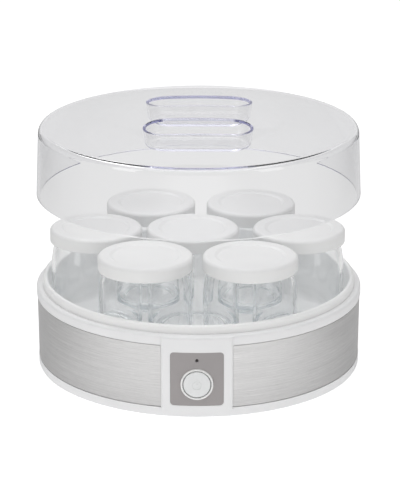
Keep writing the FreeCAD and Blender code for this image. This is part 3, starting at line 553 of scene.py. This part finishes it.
def paint_nodes():
    """Every piece gets its material; the cover, jars and lids are made here too."""
    lids = [name for name in NODES if name.startswith("jar_lid_")]
    jars = [name for name in NODES if name.startswith("jar_") and name not in lids]
    white = moulded("housing_white", (0.86, 0.86, 0.865), (0.83, 0.83, 0.835), 0.30, coat=0.1)
    assign(white, "upper_housing", "lower_housing")
    # Painted light: the well's white is a brighter copy of the housing plastic, lifted against the shade
    # inside the well.
    assign(moulded("well_white_painted_light", (0.93, 0.93, 0.925), (0.91, 0.91, 0.905), 0.34), "well")
    lid_white = moulded("lid_white", (0.87, 0.87, 0.865), (0.84, 0.84, 0.835), 0.38, 1500, 0.06)
    cover_plastic = clear("cover_plastic", (0.965, 0.965, 0.965), 1.50, (0.52, 0.52, 0.76), 12, 0.0, 12,
                          (0.97, 0.97, 0.972))
    jar_glass = clear("jar_glass", (0.99, 0.99, 0.99), 1.50, (0.70, 0.80, 0.86), 8, 0.08, 40,
                      (0.985, 0.985, 0.986))
    make_cover(cover_plastic)
    make_jars(jar_glass, lid_white)
    assign(lid_white, *lids)
    assign(moulded("trim_white", (0.86, 0.86, 0.85), (0.84, 0.84, 0.83), 0.22), "button_bezel")
    assign(moulded("button_white", (0.80, 0.81, 0.81), (0.78, 0.79, 0.79), 0.32), "power_button")
    assign(moulded("label_grey", (0.36, 0.335, 0.335), (0.34, 0.32, 0.32), 0.45, 2500, 0.08), "panel_label")
    assign(moulded("light_pipe", (0.035, 0.02, 0.025), (0.02, 0.015, 0.015), 0.15), "light_pipe")
    assign(moulded("feet_rubber", (0.30, 0.30, 0.31), (0.25, 0.25, 0.26), 0.75, 1200, 0.2), "rubber_feet")
    assign(moulded("grommet", (0.62, 0.62, 0.62), (0.58, 0.58, 0.58), 0.55, 1200, 0.1), "cord_grommet")
    assign(brushed_steel(), "steel_band")
    assign(cover_plastic, "cover")
    assign(jar_glass, *jars)
    steel = metal("zinc_steel", (0.72, 0.72, 0.73), (0.6, 0.6, 0.62), 0.35)
    assign(steel, "housing_screws", "clamp_screws", "power_board_screws", "thermostat", "thermal_fuse")
    assign(metal("plate_steel", (0.6, 0.6, 0.61), (0.48, 0.48, 0.5), 0.45), "heater_clamp_plate")
    assign(metal("spreader_aluminium", (0.82, 0.82, 0.84), (0.74, 0.74, 0.76), 0.4), "heat_spreader")
    assign(moulded("insulation_felt", (0.8, 0.78, 0.72), (0.66, 0.64, 0.58), 0.95, 700, 0.6),
           "insulation_pad")
    assign(moulded("heater_silicone", (0.55, 0.16, 0.07), (0.48, 0.13, 0.06), 0.6), "heating_cord")
    assign(moulded("board_green", (0.03, 0.20, 0.08), (0.02, 0.15, 0.06), 0.35),
           "control_board", "power_board")
    assign(moulded("nylon", (0.78, 0.77, 0.72), (0.72, 0.71, 0.66), 0.45),
           "board_connectors", "terminal_block")
    assign(moulded("black_moulding", (0.03, 0.03, 0.03), (0.02, 0.02, 0.02), 0.4),
           "tact_switch", "switch_plunger", "smoothing_capacitor")
    assign(moulded("relay_blue", (0.03, 0.10, 0.42), (0.02, 0.08, 0.34), 0.3), "relay")
    assign(moulded("capacitor_yellow", (0.75, 0.50, 0.06), (0.68, 0.44, 0.05), 0.35), "film_capacitor")
    assign(moulded("led_red", (0.6, 0.08, 0.05), (0.5, 0.06, 0.04), 0.2), "status_led")
    assign(moulded("lead_white", (0.75, 0.75, 0.74), (0.68, 0.68, 0.67), 0.5), "heater_leads", "signal_cable")


def smooth_surfaces():
    """Round faces shade as one: faces are welded and edges stay crisp where they turn sharply."""
    for piece in NODES.values():
        for face in piece.data.polygons:
            face.use_smooth = True
        weld = piece.modifiers.new("weld", "WELD")
        weld.merge_threshold = 0.000002
        split = piece.modifiers.new("crisp_edges", "EDGE_SPLIT")
        split.split_angle = CRISP_EDGE
        even = piece.modifiers.new("flat_faces_lead", "WEIGHTED_NORMAL")
        even.weight = 60


# ---- studio ----
STAGE_MIDDLE = (0, 0, 0.1)
WORLD_SEEN = 0.32
WORLD_THROUGH_CLEAR = 0.60       # brighter to rays that leave a clear piece, so that its edges don't go black
SOFTBOXES = (                    # name, place, width and height in metres, watts
    ("top", (0, -0.1, 1.3), (1.4, 1.4), 10),
    ("left", (-1.1, -0.9, 0.5), (0.45, 1.2), 2.8),
    ("right", (1.1, -0.9, 0.5), (0.45, 1.2), 2.1),
    ("rear_key", (-0.35, 0.9, 1.1), (0.3, 0.3), 1.2),
)
BACK_GLOW = ((0, 1.9, 0.72), (2.4, 1.45), 3.6)
FILL_SIZE = (0.2, 0.2)
FILLS = (("lid_fill", 0.1235, 0.009), ("well_fill", 0.0915, 0.03))    # name, height, watts
# painted shade: the floor's colour where it is mirrored beside the object and where it is seen through clear
# pieces
PAINTED_SHADE_GREY = (0.2, 0.2, 0.2)
MIX_A, MIX_B, MIX_RESULT = 6, 7, 2    # colour sockets of a mix node


def area_light(name, place, aim, size, power):
    data = bpy.data.lights.new(name, "AREA")
    data.shape = "RECTANGLE"
    data.size, data.size_y = size
    data.energy = power
    lamp = bpy.data.objects.new(name, data)
    bpy.context.scene.collection.objects.link(lamp)
    lamp.location = place
    lamp.rotation_euler = (Vector(aim) - Vector(place)).to_track_quat("-Z", "Y").to_euler()
    return lamp


def make_world():
    world = bpy.data.worlds.new("studio")
    bpy.context.scene.world = world
    world.use_nodes = True
    tree = world.node_tree
    sky = tree.nodes["Background"]
    sky.inputs["Color"].default_value = (1, 1, 1, 1)
    path = tree.nodes.new("ShaderNodeLightPath")
    strength = tree.nodes.new("ShaderNodeMapRange")
    strength.inputs["To Min"].default_value = WORLD_SEEN
    strength.inputs["To Max"].default_value = WORLD_THROUGH_CLEAR
    tree.links.new(path.outputs["Is Transmission Ray"], strength.inputs["Value"])
    tree.links.new(strength.outputs[0], sky.inputs["Strength"])


def make_lights():
    """Softboxes, a glow behind the object for the dome to mirror, and hidden fills over lids and well."""
    for name, place, size, power in SOFTBOXES:
        area_light(name, place, STAGE_MIDDLE, size, power)
    place, size, power = BACK_GLOW
    back = area_light("back_glow", place, STAGE_MIDDLE, size, power)
    back.visible_diffuse = False
    back.visible_camera = False
    for name, height, power in FILLS:
        fill = area_light(name, (0, 0, height), (0, 0, 0), FILL_SIZE, power)
        fill.data.shape = "DISK"
        for ray in ("camera", "glossy", "transmission"):
            setattr(fill, "visible_" + ray, False)


def make_floor():
    """White floor that glows with painted light. Where the object mirrors it, painted shade makes it dim
    beside and behind, which shapes steel and glass.
    """
    bpy.ops.mesh.primitive_plane_add(size=12, location=(0, 0, 0))
    floor = bpy.context.object
    floor.name = "floor"
    shader = Shader("floor_white")
    body = shader.principled(Roughness=0.9)
    body.inputs["Emission Color"].default_value = (1, 1, 1, 1)
    split = shader.node("ShaderNodeSeparateXYZ")
    shader.link(shader.position(), split.inputs[0])
    x, y = split.outputs[:2]
    path = shader.node("ShaderNodeLightPath")
    through = path.outputs["Is Transmission Ray"]
    not_through = shader.math("SUBTRACT", 1, through)
    mirrored = shader.math("MULTIPLY", path.outputs["Is Glossy Ray"], not_through)
    # Painted shade: dim far out at the sides, except where the camera sees the floor itself.
    aside = shader.math("SUBTRACT", shader.math("ABSOLUTE", x), shader.math("MULTIPLY", y, 0.09))
    middle = shader.math("MAXIMUM", shader.ramped(aside, 0.22, 0.6, 1.0, 0.35), path.outputs["Is Camera Ray"])
    # Painted reflection: dim beside and behind the object where it is mirrored, with a painted brighter patch
    # far in front.
    dimming = shader.math("MULTIPLY", mirrored, shader.ramped(y, -0.22, 0.02, 0.05, 0.6))
    beside = shader.math("SUBTRACT", 1, dimming)
    front = shader.math("MULTIPLY", mirrored, shader.ramped(y, -0.65, -0.4, 0.3, 0.0))
    # Painted light: the floor's own glow grows from front to back.
    glow = shader.ramped(y, 0.1, 2.2, 0.40, 0.75)
    lit = shader.math("ADD", shader.math("MULTIPLY", glow, beside), front)
    # Through clear pieces it glows in one even painted tone.
    behind_clear = shader.math("MULTIPLY", through, 0.66)
    seen = shader.math("ADD", shader.math("MULTIPLY", lit, not_through), behind_clear)
    shader.link(shader.math("MULTIPLY", seen, middle), body.inputs["Emission Strength"])
    # Painted shade: the floor's colour turns grey where it is mirrored beside the object and behind clear
    # pieces.
    painted_light_share = shader.math("MULTIPLY", middle, shader.math("MULTIPLY", beside, not_through))
    cloud = shader.noise(shader.position(), 3, 2)
    white = shader.tint(cloud, (0.93, 0.93, 0.93), (0.95, 0.95, 0.95))
    shade = shader.node("ShaderNodeMix", data_type="RGBA")
    shader.link(painted_light_share, shade.inputs["Factor"])
    shade.inputs[MIX_A].default_value = (*PAINTED_SHADE_GREY, 1)
    shader.link(white, shade.inputs[MIX_B])
    shader.link(shade.outputs[MIX_RESULT], body.inputs["Base Color"])
    floor.data.materials.append(shader.finish(body))


# ---- camera and render ----
def make_camera():
    distance = 1.6
    elevation = math.radians(18.56)
    azimuth = math.radians(0.53)
    aim = Vector((0.0010, 0, 0.0842))
    back = Vector((math.sin(azimuth) * math.cos(elevation),
                   -math.cos(azimuth) * math.cos(elevation), math.sin(elevation)))
    data = bpy.data.cameras.new("camera")
    data.sensor_width = 36
    data.lens = 158.8
    camera = bpy.data.objects.new("camera", data)
    bpy.context.scene.collection.objects.link(camera)
    camera.location = aim + back * distance
    camera.rotation_euler = (-back).to_track_quat("-Z", "Y").to_euler()
    bpy.context.scene.camera = camera


def set_bounces():
    """Clear pieces inside clear pieces need many bounces, or their edges turn black."""
    bpy.context.scene.view_settings.view_transform = "Standard"
    cycles = bpy.context.scene.cycles
    cycles.max_bounces = 64
    cycles.diffuse_bounces = 8
    cycles.glossy_bounces = 48
    cycles.transmission_bounces = 48
    cycles.transparent_max_bounces = 48


smooth_surfaces()
paint_nodes()
make_world()
make_lights()
make_floor()
make_camera()
set_bounces()
